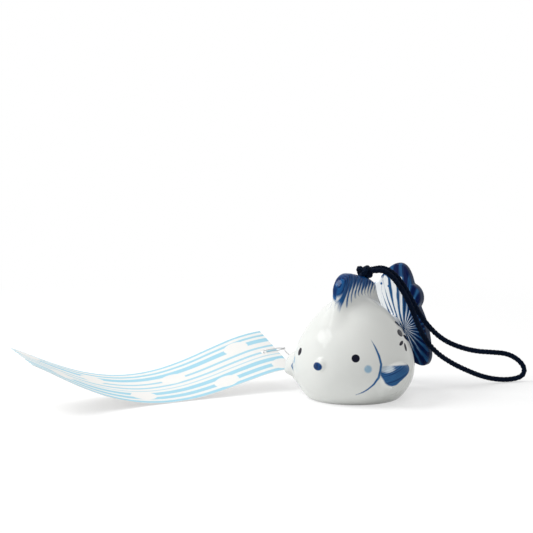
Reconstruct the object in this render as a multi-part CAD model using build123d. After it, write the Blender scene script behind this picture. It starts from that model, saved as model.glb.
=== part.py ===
from build123d import *
import math
import os

# A porcelain wind bell in the shape of a plump fish, standing on its open mouth.
# Millimetres, +Z up, nose towards -Y, origin at the middle of the rim that it stands on.

# Porcelain body
body_radius = 32.2
body_height = 55.0
mouth_share = 0.7516
rim_width = 2.8
rim_rounding = 0.7
wall = 3.0
crown_wall = 4.5
body_equator_share = 0.30
body_belly_shares = [(0.0, 0.0), (0.62, 0.255), (1.0, 0.637), (1.0, 1.0)]
body_back_shares = [(1.0, 0.0), (1.0, 0.40), (0.45, 1.0), (0.0, 1.0)]
lip_radius = 5.0
lip_height = 20.9
lip_proud = 0.8

# Dorsal fin, which also carries the cord hole
fin_front = 19.0
fin_length = 49.6
fin_rise = 11.5
fin_thickness = 8.0
fin_edge_radius = 2.6
fin_corner_shares = [(0.0, 0.69), (0.097, 1.029), (0.701, 0.92), (1.0, 0.585)]
fin_front_round = 9.7
fin_rear_round = 20.0
fin_flutes = 10
fin_flute_radius = 1.3
fin_flute_depth = 0.55
fin_flute_shares = (0.08, 0.78)
fin_flute_lean = 14.0
ridge_low_shares = (0.93, 0.92, 0.48)
ridge_high_shares = (0.11, 0.534, 0.982)

# Tail fan behind the body, in a plane across the fish
tail_place = 42.5
tail_root_height = 32.0
tail_half_width = 23.1
tail_rise = 35.5
tail_drop = 19.4
tail_middle_thickness = 7.0
tail_edge_thickness = 3.6
tail_edge_radius = 1.1
tail_notch_radius = 0.9
tail_top_notch_shares = (0.47, 0.69)
tail_top_bend_shares = [(-0.30, 0.873), (0.26, 1.282)]
tail_side_lobe_shares = (0.70, 0.55)
tail_side_notch_shares = (0.64, 0.34)
tail_low_side_shares = (0.90, -0.10)
tail_low_corner_shares = (1.0, -0.57)
tail_low_round_shares = (0.93, -0.93)
tail_low_foot_shares = (0.63, -1.0)
tail_low_inside_shares = (0.26, -0.86)
tail_fork_share = 0.45
tail_flutes = 25
tail_flute_sweep = 292.0
tail_flute_start = 9.0
tail_flute_length = 32.0
tail_flute_radius = 1.25
tail_flute_tip_radius = 0.35
tail_flute_depth = 0.5
stalk_half_width = 7.0
stalk_half_height = 9.0
stalk_waist_share = 0.72
stalk_sink = 12.0

# Pectoral fins, raised pads low on both flanks
pectoral_turn = 76.0
pectoral_height = 14.0
pectoral_half_length = 11.5
pectoral_radius = 8.8
pectoral_sink = 2.6
pectoral_rise = 18.0
pectoral_flutes = 4
pectoral_flute_radius = 1.0
pectoral_flute_depth = 0.45
pectoral_flute_share = 0.42

# Cord and its knots
cord_diameter = 3.0
cord_hole_clearance = 0.6
cord_hole_place = 10.0
knot_turn_radius = 3.3
knot_turn_spread = 1.25
inner_knot_turn_radius = 2.4
inner_knot_drop = 12.7
running_gap = 0.3

# Clapper on its thread
thread_diameter = 0.8
hitch_diameter = 3.2
clapper_diameter = 15.0
clapper_length = 13.0
clapper_end_diameter = 8.0
clapper_bore = 2.0
clapper_bottom = 9.0
clapper_recess_diameter = 4.8
clapper_recess_depth = 2.6
clapper_knot_diameter = 3.6
clapper_knot_sink = 1.52
tail_thread_end = 5.5

# Paper strip, curled up at both ends
strip_length = 159.5
strip_width = 37.5
strip_thickness = 0.4
strip_middle = (-84.4, -67.0, 5.2)
strip_heading = 66.0
strip_heading_drift = 5.0
strip_slopes = (-23.5, -27.0, -22.0, -12.0, -0.5, 9.7, 15.5, 13.7, 1.2)
strip_roll_ends = (4.0, 25.0)
strip_hole_diameter = 3.0
strip_hole_margin = 8.0
strip_knot_diameter = 2.4
strip_knot_reach = 4.6
strip_loop_height = 2.4
strip_loop_bend = 0.9

# Directions in which the cord lies, turned from the fish's own axes
cord_heading = 36.0
corner_share = 0.45
overrun = 5.0

# Hanging loop: reach along its heading, depth behind it and height
cord_route = [
    (11.1, 9.55, 66.8), (15.8, 10.1, 67.9), (21.2, 10.8, 64.9), (26.4, 12.0, 58.8),
    (31.2, 13.4, 50.6), (35.8, 15.0, 42.2), (41.4, 17.0, 34.6), (48.8, 20.0, 27.7),
    (58.0, 24.5, 22.3), (68.5, 29.5, 18.9), (78.5, 34.0, 17.6), (86.8, 38.0, 16.2),
    (93.3, 40.5, 12.6), (97.4, 41.4, 7.6), (96.4, 40.6, 3.2), (91.0, 39.0, 1.6),
    (83.0, 36.5, 1.7), (73.5, 32.5, 4.0), (63.6, 27.0, 8.6), (53.7, 21.2, 14.2),
    (45.4, 15.6, 20.8), (39.4, 12.2, 28.7), (34.5, 10.0, 37.4), (30.2, 8.6, 46.1),
    (25.9, 7.6, 53.8), (20.9, 7.0, 60.3), (15.9, 6.7, 64.6), (11.1, 6.65, 65.5),
]

# Thread of the strip, from under the clapper, out below the rim and up to the strip's knot
thread_route = [
    (0.0, 10.0, 5.2), (-0.3, 10.1, 2.9), (-1.8, 10.6, 0.95), (-4.2, 11.2, 0.42),
    (-8.6, 11.5, 0.42), (-14.5, 10.7, 0.42), (-20.5, 10.9, 0.42), (-25.5, 10.3, 0.42),
    (-30.2, 10.6, 0.6), (-34.8, 10.4, 2.7), (-39.0, 10.2, 6.5), (-43.2, 10.0, 10.8),
    (-47.3, 9.8, 14.8), (-51.5, 9.5, 17.85),
]


# Heights and sizes that follow from the body and the fin
mouth_radius = body_radius * mouth_share
fin_top = body_height + fin_rise
fin_corners = [(fin_length * along - fin_front, fin_top * up) for along, up in fin_corner_shares]
knot_half_height = knot_turn_spread + cord_diameter / 2
inner_knot_height = body_height - inner_knot_drop


def fish_form(radius, mouth, height, foot=0):
    """The plump body, turned about its upright axis from its mouth at foot up to the crown."""
    equator = height * body_equator_share
    belly = Bezier(*((mouth + (radius - mouth) * out, equator * up) for out, up in body_belly_shares))
    rise = height - equator
    back = Bezier(*((radius * out, equator + rise * up) for out, up in body_back_shares))
    edges = Curve() + [belly, back, Polyline((0, height), (0, foot), (mouth, foot))]
    if foot < 0:
        edges += Line((mouth, foot), (mouth, 0))
    return revolve(Plane.XZ * make_face(edges), Axis.Z)


def cord_hole():
    """Upright hole through fin and crown for the cord."""
    radius = cord_diameter / 2 + cord_hole_clearance
    depth = fin_top - inner_knot_height + overrun
    low = Align.CENTER, Align.CENTER, Align.MIN
    return Pos(0, cord_hole_place, inner_knot_height) * Cylinder(radius, depth, align=low)


def bell_shell(outside):
    """Hollow body with its small lip, open at the mouth and bored at the crown."""
    inside = fish_form(body_radius - wall, mouth_radius - rim_width, body_height - crown_wall, -overrun)
    lip = Pos(0, lip_radius - body_radius - lip_proud, lip_height) * Sphere(lip_radius)
    shell = outside + lip - inside
    rim = shell.edges().filter_by(lambda edge: edge.bounding_box().max.Z < rim_rounding)
    return fillet(rim, rim_rounding) - cord_hole()


def back_ridge():
    """Ridge along forehead and back, from which the dorsal fin rises."""
    sections = []
    for wide, long, high in (ridge_low_shares, ridge_high_shares):
        sections.append(Pos(0, 0, body_height * high) * Ellipse(body_radius * wide, body_radius * long))
    return loft(sections)


def crest_height(place):
    """Height of the dorsal fin's top edge at a place along the fish."""
    (start, high), (end, low) = fin_corners[1:3]
    return high + (low - high) * (place - start) / (end - start)


def dorsal_fin(outside, tail):
    """Fluted crest seated on the back and the tail's stalk, with the cord hole in its rear top."""
    front, rear = fin_corners[0], fin_corners[-1]
    foot = body_height / 2
    crest = FilletPolyline(*fin_corners, radius=[fin_front_round, fin_rear_round])
    edges = Curve() + [crest, Polyline(rear, (rear[0], foot), (front[0], foot), front)]
    slab = extrude(Plane.YZ * make_face(edges), fin_thickness / 2, both=True)
    sides = slab.faces().filter_by(Axis.X)
    rims = sides.edges().filter_by(lambda edge: edge.center().Z > foot + fin_edge_radius)
    slab = fillet(rims.filter_by(lambda edge: edge.length < fin_length), fin_edge_radius)
    first, last = fin_flute_shares
    offset_x = fin_thickness / 2 + fin_flute_radius - fin_flute_depth
    for number in range(fin_flutes):
        share = first + (last - first) * number / (fin_flutes - 1)
        place = Pos(0, fin_length * share - fin_front, body_height) * Rot(-fin_flute_lean, 0, 0)
        for side in (-1, 1):
            slab -= place * Pos(side * offset_x, 0, 0) * Cylinder(fin_flute_radius, fin_top)
    return slab + back_ridge() - outside - tail - cord_hole()


def tail_outline():
    """Scalloped edge of the tail: a leaning top lobe, two side lobes and two low lobes."""

    def at(shares, side=1):
        wide, high = shares
        return side * tail_half_width * wide, high * (tail_rise if high > 0 else tail_drop)

    fork = (0, -tail_drop * tail_fork_share)
    bends = [at(shares) for shares in tail_top_bend_shares]
    edges = [Bezier(at(tail_top_notch_shares, -1), *bends, at(tail_top_notch_shares))]
    for side in (-1, 1):
        side_arcs = (
            (tail_top_notch_shares, tail_side_lobe_shares, tail_side_notch_shares),
            (tail_side_notch_shares, tail_low_side_shares, tail_low_corner_shares),
            (tail_low_corner_shares, tail_low_round_shares, tail_low_foot_shares),
        )
        edges += [ThreePointArc(*(at(shares, side) for shares in arc)) for arc in side_arcs]
        edges.append(ThreePointArc(at(tail_low_foot_shares, side), at(tail_low_inside_shares, side), fork))
    outline = Sketch() + make_face(Curve() + edges)
    return fillet(outline.vertices(), tail_notch_radius)


def tail_fin(outside):
    """Lens-shaped fan with radial flutes on both faces, on a stalk that grows out of the body."""
    plane = Plane((0, tail_place, tail_root_height), x_dir=(1, 0, 0), z_dir=(0, -1, 0))
    fan = extrude(plane * tail_outline(), tail_middle_thickness, both=True)
    sag = (tail_middle_thickness - tail_edge_thickness) / 2
    ball_radius = (tail_rise**2 + sag**2) / (2 * sag)
    middle = ball_radius - tail_middle_thickness / 2
    fan = fan & (plane * Pos(0, 0, middle) * Sphere(ball_radius))
    fan = fan & (plane * Pos(0, 0, -middle) * Sphere(ball_radius))
    rims = fan.edges().filter_by(lambda edge: abs(edge.tangent_at(1 / 2).Y) < 1 / 2)
    fan = fillet(rims, tail_edge_radius)
    for number in range(tail_flutes):
        turn = tail_flute_sweep * (number / (tail_flutes - 1) - 1 / 2)
        lean = math.degrees(math.atan2(sag, tail_rise))
        groove = Cone(tail_flute_tip_radius, tail_flute_radius, tail_flute_length)
        for face in (-1, 1):
            lift = face * (tail_middle_thickness / 2 + tail_flute_radius - tail_flute_depth - sag / 2)
            along = tail_flute_start + tail_flute_length / 2
            fan -= plane * Rot(0, 0, -turn) * Pos(0, along, lift) * Rot(-90 - face * lean, 0, 0) * groove
    depth = tail_place - body_radius + stalk_sink
    sections = [
        plane * Ellipse(stalk_half_width * stalk_waist_share, stalk_half_height * stalk_waist_share),
        plane * Pos(0, 0, depth) * Ellipse(stalk_half_width, stalk_half_height),
    ]
    return fan + loft(sections) - outside


def pectoral_fin(outside, side):
    """Fluted pad on one flank, rising towards the tail."""
    turn = math.radians(pectoral_turn)
    place = Pos(
        side * body_radius * math.sin(turn), -body_radius * math.cos(turn), pectoral_height
    )
    pose = place * Rot(0, 0, side * pectoral_turn) * Rot(0, -side * pectoral_rise, 0)
    half = Ellipse(pectoral_half_length, pectoral_radius) & Rectangle(
        2 * pectoral_half_length, pectoral_radius, align=(Align.CENTER, Align.MIN)
    )
    pad = revolve(half, Axis.X)
    for number in range(pectoral_flutes):
        share = number / (pectoral_flutes - 1) - 1 / 2
        row = 2 * pectoral_radius * pectoral_flute_share * share
        bulge = math.sqrt(pectoral_radius**2 - row**2)
        out = bulge + pectoral_flute_radius - pectoral_flute_depth
        groove = Cylinder(pectoral_flute_radius, 2 * pectoral_half_length, rotation=(0, 90, 0))
        pad -= Pos(0, -out, row) * groove
    return pose * Pos(0, pectoral_sink, 0) * pad - outside


def knot(turn_radius):
    """Knot drawn tight: two turns of cord lying on one another round the strands they hold."""
    turns = [Pos(turn_radius, side * knot_turn_spread) * Circle(cord_diameter / 2) for side in (-1, 1)]
    outline = Circle(turn_radius) + turns
    half = outline & Rectangle(body_radius, body_radius, align=(Align.MIN, Align.CENTER))
    return revolve(Plane.XZ * half, Axis.Z)


def upright(place, low, high, diameter):
    """Straight upright length of cord or thread."""
    base = Align.CENTER, Align.CENTER, Align.MIN
    return Pos(*place, low) * Cylinder(diameter / 2, high - low, align=base)


def clapper():
    """Barrel bead that strikes the wall, bored along its thread and recessed for the stop knot."""
    end, belly = clapper_end_diameter / 2, clapper_diameter / 2
    bore, recess = clapper_bore / 2, clapper_recess_diameter / 2
    half = clapper_length / 2
    roof = clapper_recess_depth - half
    bulge = end + (belly - end) * 4 / 3
    edges = Curve() + [
        Bezier((end, -half), (bulge, -half / 3), (bulge, half / 3), (end, half)),
        Polyline((end, half), (bore, half), (bore, roof), (recess, roof), (recess, -half), (end, -half)),
    ]
    bead = revolve(Plane.XZ * make_face(edges), Axis.Z)
    return Pos(0, cord_hole_place, clapper_bottom + half) * bead


def lying(points):
    """Route points turned from the cord's heading into the part's axes."""
    turn = math.radians(cord_heading)
    return [
        Vector(
            reach * math.cos(turn) - depth * math.sin(turn),
            reach * math.sin(turn) + depth * math.cos(turn),
            height,
        )
        for reach, depth, height in points
    ]


def tube(name, points, diameter):
    """Round cord along straight runs joined by arcs as large as the runs allow."""
    runs = [after - before for before, after in zip(points, points[1:])]
    radii = []
    for before, after in zip(runs, runs[1:]):
        half_turn = math.radians(before.get_angle(after)) / 2
        radii.append(corner_share * min(before.length, after.length) / math.tan(half_turn))
    path = FilletPolyline(*points, radius=radii)
    section = Plane(path @ 0, z_dir=path % 0) * Circle(diameter / 2)
    cord = sweep(section, path)
    expected = math.pi * diameter**2 / 4 * path.length
    print(name, "radii", [round(radius, 1) for radius in radii])
    print(name, "length", round(path.length, 1), "volume share", round(cord.volume / expected, 4))
    return cord


def strip_stations():
    """Frames across the paper strip, one at each named slope, from its far end to its tied end."""
    count = len(strip_slopes)
    step = strip_length / (count - 1)
    frames = []
    for number, slope in enumerate(strip_slopes):
        share = number / (count - 1) - 1 / 2
        heading = math.radians(strip_heading + strip_heading_drift * share)
        pitch = math.radians(slope)
        roll = math.radians(strip_roll_ends[0] + (strip_roll_ends[1] - strip_roll_ends[0]) * (share + 1 / 2))
        along = Vector(
            math.cos(pitch) * math.cos(heading), math.cos(pitch) * math.sin(heading), math.sin(pitch)
        )
        level = Vector(-math.sin(heading), math.cos(heading), 0)
        across = level * math.cos(roll) + along.cross(level) * math.sin(roll)
        frames.append((along, across))
    places = [Vector(0, 0, 0)]
    for before, after in zip(frames, frames[1:]):
        places.append(places[-1] + (before[0] + after[0]) * (step / 2))
    shift = Vector(*strip_middle) - places[count // 2]
    return [Plane(place + shift, x_dir=across, z_dir=along) for place, (along, across) in zip(places, frames)]


def tied_end(stations):
    """Plane on the strip's tied edge, its Z along the last stretch from hole to edge."""
    before, end = stations[-2], stations[-1]
    share = strip_hole_margin * (len(stations) - 1) / strip_length / 2
    along = end.z_dir * (1 - share) + before.z_dir * share
    return Plane(end.origin, x_dir=end.x_dir, z_dir=along)


def paper_strip(stations):
    """Thin sheet through the stations, with the hole for its thread near the tied end."""
    sheet = loft([station * Rectangle(strip_width, strip_thickness) for station in stations])
    hole = Cylinder(strip_hole_diameter / 2, 2 * overrun, rotation=(90, 0, 0))
    return sheet - tied_end(stations) * Pos(0, 0, -strip_hole_margin) * hole


def strip_loop(stations):
    """Thread loop that goes through the strip's hole and round its edge to the knot."""
    lift = strip_loop_height / 2
    corners = [
        (0, lift, -strip_hole_margin),
        (0, lift, strip_knot_reach),
        (0, -lift, strip_knot_reach),
        (0, -lift, -strip_hole_margin),
    ]
    plane = tied_end(stations)
    path = FilletPolyline(*corners, radius=strip_loop_bend, close=True)
    section = Plane(path @ 0, z_dir=path % 0) * Circle(thread_diameter / 2)
    ball = Pos(0, 0, strip_knot_reach) * Sphere(strip_knot_diameter / 2 + running_gap)
    return plane * (sweep(section, path) - ball)


os.makedirs("parts", exist_ok=True)

outside = fish_form(body_radius, mouth_radius, body_height)
crown_knot_place = (0, cord_hole_place)
knot_height = crest_height(cord_hole_place) + knot_half_height
shell = bell_shell(outside)
tail = tail_fin(outside)
fin = dorsal_fin(outside, tail)
top_knot = Pos(*crown_knot_place, knot_height) * knot(knot_turn_radius) - fin
inner_knot = Pos(*crown_knot_place, inner_knot_height) * knot(inner_knot_turn_radius) - shell
crown_cord = upright(crown_knot_place, inner_knot_height, knot_height, cord_diameter) - top_knot - inner_knot

hitch_height = inner_knot_height - knot_half_height - running_gap - hitch_diameter / 2
thread_top = hitch_height - hitch_diameter / 2 - running_gap
clapper_knot_height = clapper_bottom + clapper_recess_depth - clapper_knot_sink
clapper_knot = Pos(*crown_knot_place, clapper_knot_height) * Sphere(clapper_knot_diameter / 2)
clapper_thread = upright(crown_knot_place, clapper_knot_height, thread_top, thread_diameter) - clapper_knot
tail_thread = upright(crown_knot_place, tail_thread_end, clapper_knot_height, thread_diameter) - clapper_knot

stations = strip_stations()
strip_knot_place = (tied_end(stations) * Pos(0, 0, strip_knot_reach)).position

nodes = {
    "bell_shell": shell,
    "dorsal_fin": fin,
    "tail_fin": tail,
    "left_pectoral_fin": pectoral_fin(outside, 1),
    "right_pectoral_fin": pectoral_fin(outside, -1),
    "top_knot": top_knot,
    "crown_cord": crown_cord,
    "inner_knot": inner_knot,
    "hanging_cord": tube("hanging_cord", lying(cord_route), cord_diameter),
    "thread_hitch": Pos(*crown_knot_place, hitch_height) * Sphere(hitch_diameter / 2),
    "clapper_thread": clapper_thread,
    "clapper": clapper(),
    "clapper_knot": clapper_knot,
    "tail_thread": tail_thread,
    "strip_thread": tube("strip_thread", [Vector(*point) for point in thread_route], thread_diameter),
    "strip_knot": Pos(*strip_knot_place) * Sphere(strip_knot_diameter / 2),
    "strip_loop": strip_loop(stations),
    "paper_strip": paper_strip(stations),
}
for name, solid in nodes.items():
    export_step(solid, f"parts/{name}.step")
print("strip knot", strip_knot_place, "hitch height", round(hitch_height, 2))
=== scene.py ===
import math

import bmesh
import bpy
import numpy as np
from mathutils import Matrix, Vector
from mathutils.bvhtree import BVHTree


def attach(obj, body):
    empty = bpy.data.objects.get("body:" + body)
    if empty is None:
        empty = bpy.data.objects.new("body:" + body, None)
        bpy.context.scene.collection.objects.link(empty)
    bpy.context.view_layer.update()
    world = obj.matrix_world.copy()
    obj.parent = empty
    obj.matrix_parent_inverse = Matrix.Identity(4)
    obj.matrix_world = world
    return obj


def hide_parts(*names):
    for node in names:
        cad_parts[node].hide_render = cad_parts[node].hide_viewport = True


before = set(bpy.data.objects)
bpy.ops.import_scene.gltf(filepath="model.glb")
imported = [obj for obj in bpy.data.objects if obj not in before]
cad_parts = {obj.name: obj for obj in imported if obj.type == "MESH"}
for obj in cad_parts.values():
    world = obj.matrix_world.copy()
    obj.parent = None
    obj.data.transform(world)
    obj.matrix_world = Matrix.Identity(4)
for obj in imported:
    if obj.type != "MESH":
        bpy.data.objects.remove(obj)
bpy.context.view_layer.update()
MM = 0.001

# Upright line that the cord and the clapper hang on, and the knots' heights along it, in millimetres
HANG_LINE = Vector((0.0, 10.0, 0.0))
UP = Vector((0.0, 0.0, 1.0))
TOP_KNOT = HANG_LINE + UP * 65.3
INNER_KNOT = HANG_LINE + UP * 42.3
HITCH = HANG_LINE + UP * 37.65
CLAPPER_KNOT = HANG_LINE + UP * 10.08
CROWN_CORD_ENDS = (41.0, 64.5)
CLAPPER_THREAD_ENDS = (5.6, 36.1)
CORD_DIAMETER = 3.0
CROWN_CORD = CORD_DIAMETER * 0.97
TOP_KNOT_CORD = 2.9
INNER_KNOT_CORD = 2.3
THREAD_DIAMETER = 0.8
TIE_KNOT_THREAD = THREAD_DIAMETER * 0.9

# Hanging loop: reach along its heading, depth behind it and height; it comes out of the knot at both ends
CORD_HEADING = math.radians(36.0)
CORD_ROUTE = [
    (7.6, 8.9, 66.2), (11.1, 9.55, 66.9), (15.6, 10.3, 67.5), (20.9, 11.0, 64.9), (26.2, 12.2, 59.1),
    (31.1, 13.6, 50.8), (35.7, 15.2, 42.0), (41.5, 17.0, 34.2), (48.8, 20.0, 27.2),
    (58.0, 24.5, 22.3), (68.5, 29.5, 18.9), (78.5, 34.0, 17.6), (86.8, 38.0, 16.2),
    (93.3, 40.5, 12.6), (97.4, 41.4, 7.6), (96.4, 40.6, 3.2), (91.0, 39.0, 1.6),
    (83.0, 36.5, 1.7), (73.5, 32.5, 4.0), (63.6, 27.0, 8.6), (53.7, 21.2, 14.2),
    (45.0, 15.6, 20.8), (38.5, 12.0, 28.8), (34.4, 9.9, 37.5), (30.8, 8.6, 46.9),
    (26.3, 7.6, 55.2), (21.3, 7.0, 62.4), (16.2, 6.6, 66.4), (11.1, 6.3, 66.3), (7.6, 7.0, 65.8),
]

# Thread from the clapper's bead, under the rim and up to the paper strip
THREAD_ROUTE = [
    (0.0, 10.0, 5.2), (-0.3, 10.1, 2.9), (-1.8, 10.6, 0.95), (-4.2, 11.2, 0.42),
    (-8.6, 11.5, 0.42), (-14.5, 10.7, 0.42), (-20.5, 10.9, 0.42), (-25.5, 10.3, 0.42),
    (-30.2, 10.6, 0.6), (-34.8, 10.4, 2.7), (-39.0, 10.2, 6.5), (-43.2, 10.0, 10.8),
    (-47.3, 9.8, 14.8), (-51.5, 9.5, 17.85),
]

# Loose fibres on the cord, in metres and radians; the shortest as a share of the longest
FIBRES_A_SQUARE_METRE = 900000.0
FIBRE_LENGTH = 0.0008
FIBRE_RADIUS = 0.000018
FIBRE_LEAN = 1.1
FIBRE_TURN = 6.28
SHORTEST_FIBRE = 0.35

# Paper strip, as it is cut and as it curls; its free end is drawn a few rows short
STRIP_LENGTH = 159.5
STRIP_WIDTH = 37.5
STRIP_THICKNESS = 0.25
STRIP_STEPS = 152
STRIP_COLUMNS = 40
STRIP_TRIM_ROWS = 4
STRIP_MIDDLE = Vector((-84.4, -67.0, 5.2))
STRIP_HEADING = 66.0
STRIP_DRIFT = 5.0
STRIP_SLOPES = (-23.5, -27.0, -22.0, -12.0, -0.5, 9.7, 15.5, 13.7, 1.2)
STRIP_ROLLS = (4.0, 25.0)
STRIP_HOLE_MARGIN = 8.0
STRIP_HOLE_RADIUS = 1.5
PUNCH_LENGTH = 4.0
STRIP_KNOT = Vector((-52.4791, 9.3482, 19.0278))

# Thread loop from the strip's hole to its knot: share of the way, and lift off the paper
TIE_ROUTE = [
    (0.0, -0.9), (0.0, 0.9), (0.25, 1.1), (0.5, 1.0), (0.8, 0.75),
    (0.93, 0.3), (0.93, -0.3), (0.8, -0.75), (0.5, -1.0), (0.25, -1.1),
]

# Bands along the strip: middle and half width as shares of its width, and strength
STRIPES = [
    (0.036, 0.030, 1.0), (0.160, 0.038, 1.0), (0.293, 0.040, 1.0), (0.398, 0.012, 0.7), (0.490, 0.020, 0.95),
    (0.610, 0.021, 0.95), (0.768, 0.043, 1.0), (0.886, 0.022, 1.0), (0.982, 0.020, 1.0),
]
STRIPE_EDGE = 0.006

# Bare ovals: middle as a share of the width, place as a share of the length
OVALS = [
    (0.775, 0.875), (0.627, 0.602), (0.165, 0.746), (0.150, 0.977), (0.247, 0.451),
    (0.70, 0.309), (0.38, 0.166), (0.86, 0.081),
]
OVAL_HALF = (0.125, 0.045)

# Porcelain: grain of each piece before softening in metres, and rounds of softening
BODY_VOXEL, BODY_ROUNDS = 0.00058, 7
TAIL_VOXEL, TAIL_ROUNDS = 0.00034, 6
FIN_ROOT_ROUNDS = 120

# Body's skin: heights at which it is measured, on a flank without fins, and a start clear of it in metres
SKIN_HEIGHTS = (1.0, 54.3)
SKIN_STEPS = 80
PLAIN_TURN = 130.0
CLEAR_OF_BODY = 0.1

# Brush work on the body: turn from the nose in degrees, and height; a distance that no brush reaches
FAR_OFF = 9.0
EYE, EYE_RADIUS = (34.7, 25.7), 2.15
CHEEK, CHEEK_RADIUS = (46.2, 20.3), 2.1
GILL = [
    (52.1, 34.6), (55.5, 30.9), (58.1, 26.6), (59.3, 22.3), (58.0, 19.1),
    (55.8, 15.8), (52.1, 12.4), (46.3, 9.6), (41.3, 7.9), (35.0, 6.6),
]
GILL_HALF = [0.15, 0.5, 0.68, 0.72, 0.72, 0.68, 0.6, 0.5, 0.42, 0.2]

# Ovals, each by its middle, its tip and its side
PETALS = [
    ((115.5, 39.3), (123.0, 37.7), (112.5, 38.5)), ((102.3, 35.6), (102.9, 33.8), (95.2, 35.4)),
    ((93.7, 31.0), (88.5, 30.1), (95.5, 30.4)), ((115.5, 32.0), (121.1, 29.9), (108.3, 32.2)),
    ((99.0, 28.6), (97.5, 26.5), (96.4, 28.7)), ((123.0, 34.6), (125.5, 33.6), (121.0, 34.3)),
]
MOUTH = ((-2.3, 20.65), (3.3, 20.65), (-2.3, 22.85))

# Side fin's outline on the flank, the top of the slope under it, and the flank's radius for rolling it out
SIDE_FIN = [
    (58.2, 19.1), (57.6, 16.8), (59.9, 13.0), (62.2, 11.9), (65.1, 11.4), (68.4, 11.9),
    (72.0, 13.7), (76.8, 15.4), (81.8, 17.3), (86.0, 19.2), (88.5, 20.6), (88.8, 21.0),
    (76.1, 21.5), (71.0, 21.4), (66.3, 21.4), (60.2, 21.4),
]
FIN_UNDER_EDGE = [
    (57.6, 16.0), (59.9, 13.5), (62.2, 12.4), (68.4, 12.4),
    (72.0, 14.2), (76.8, 15.9), (81.8, 17.8), (88.5, 20.6),
]
FIN_UNDER_LIFT = 2.7
SUNK_PAD = 0.12
FLANK = 30.0

# Back fin: heights of its edge and of its painted foot, along the body
CREST_TOP = [(-19.0, 45.9), (-14.2, 68.4), (15.8, 61.2), (30.6, 38.9)]
CREST_LOW = [(-19.0, 51.3), (-8.0, 52.4), (16.0, 53.0), (22.0, 50.5), (30.0, 38.0)]
CREST_LEAN = math.tan(math.radians(27.0))
CREST_DRAWN_IN = 1.7
LEAST_CREST = 11.0

# Tail: its place along the body, where its fan begins, and the roots and cover of its brush strokes
TAIL_PLACE = 42.5
FAN_START = TAIL_PLACE - 4.5
TAIL_ROOT = 32.0
TAIL_STROKE_ROOT = 7.5
BACK_ROOT_DROP = 3.0
TAIL_CORNER = (18.5, 13.5)
STALK_BARE = (TAIL_PLACE - 4.2, TAIL_PLACE - 5.7)
FAN_SLICES = 180
EMPTY_SLICE_REACH = 20.0
FULL_COVER = 1.12
TAIL_DOTS, TAIL_DOT_RADIUS = [(-8.0, 55.4), (-3.3, 54.4)], 0.75

# Colours, some as a pair that a finish blends
BODY_GLAZE = ((0.705, 0.715, 0.69), (0.675, 0.688, 0.664))
# The tail's pair is the body's porcelain painted whiter: painted light from the lamp at the left falling on
# the tail
TAIL_GLAZE_WITH_PAINTED_LIGHT = ((0.84, 0.86, 0.87), (0.79, 0.82, 0.84))
NAVY = (0.0005, 0.0015, 0.012)
DEEP_COBALT = (0.0008, 0.016, 0.09)
SEA_BLUE = (0.01, 0.095, 0.27)
WASH_BLUE = (0.27, 0.42, 0.55)
GILL_INKS = (SEA_BLUE, (0.03, 0.12, 0.27))
SIDE_FIN_INKS = ((0.03, 0.125, 0.29), (0.005, 0.036, 0.125))
MOUTH_INKS = ((0.003, 0.025, 0.1), (0.01, 0.06, 0.2))
TAIL_INKS = ((0.022, 0.12, 0.29), (0.0006, 0.007, 0.055))
TAIL_RIM_DARK = (0.012, 0.024, 0.062)
NAVY_YARN = ((0.0006, 0.0025, 0.009), (0.003, 0.01, 0.03))
PALE_YARN = ((0.8, 0.81, 0.82), (0.9, 0.9, 0.9))
PAPER_TINTS = ((0.84, 0.83, 0.805), (0.80, 0.79, 0.765))
BAND_TINTS = ((0.36, 0.64, 0.76), (0.32, 0.60, 0.73))
TABLE_TINTS = ((0.97, 0.97, 0.97), (0.955, 0.96, 0.96))

# Camera, and the room's light, in metres, degrees and watts
CAMERA_PLACE = (0.4545, -0.7041, 0.1705)
CAMERA_TILT = 83.1
CAMERA_HEADING = 36.0
CAMERA_LENS = 108.34
WINDOW_LAMP = {"place": (-0.75, -0.55, 0.95), "aim": (0.0, 0.0, 0.03), "size": (0.75, 0.6), "power": 13.2}
TOP_LAMP = {"place": (0.1, 0.1, 1.3), "aim": (0.0, 0.0, 0.0), "size": (0.9, 0.9), "power": 3.8}
ROOM_LIGHT = 0.45
TABLE_HALF = 4.0
TABLE_FADE = (0.18, 0.5)
TABLE_GLOW = 0.55


# Finishes

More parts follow.
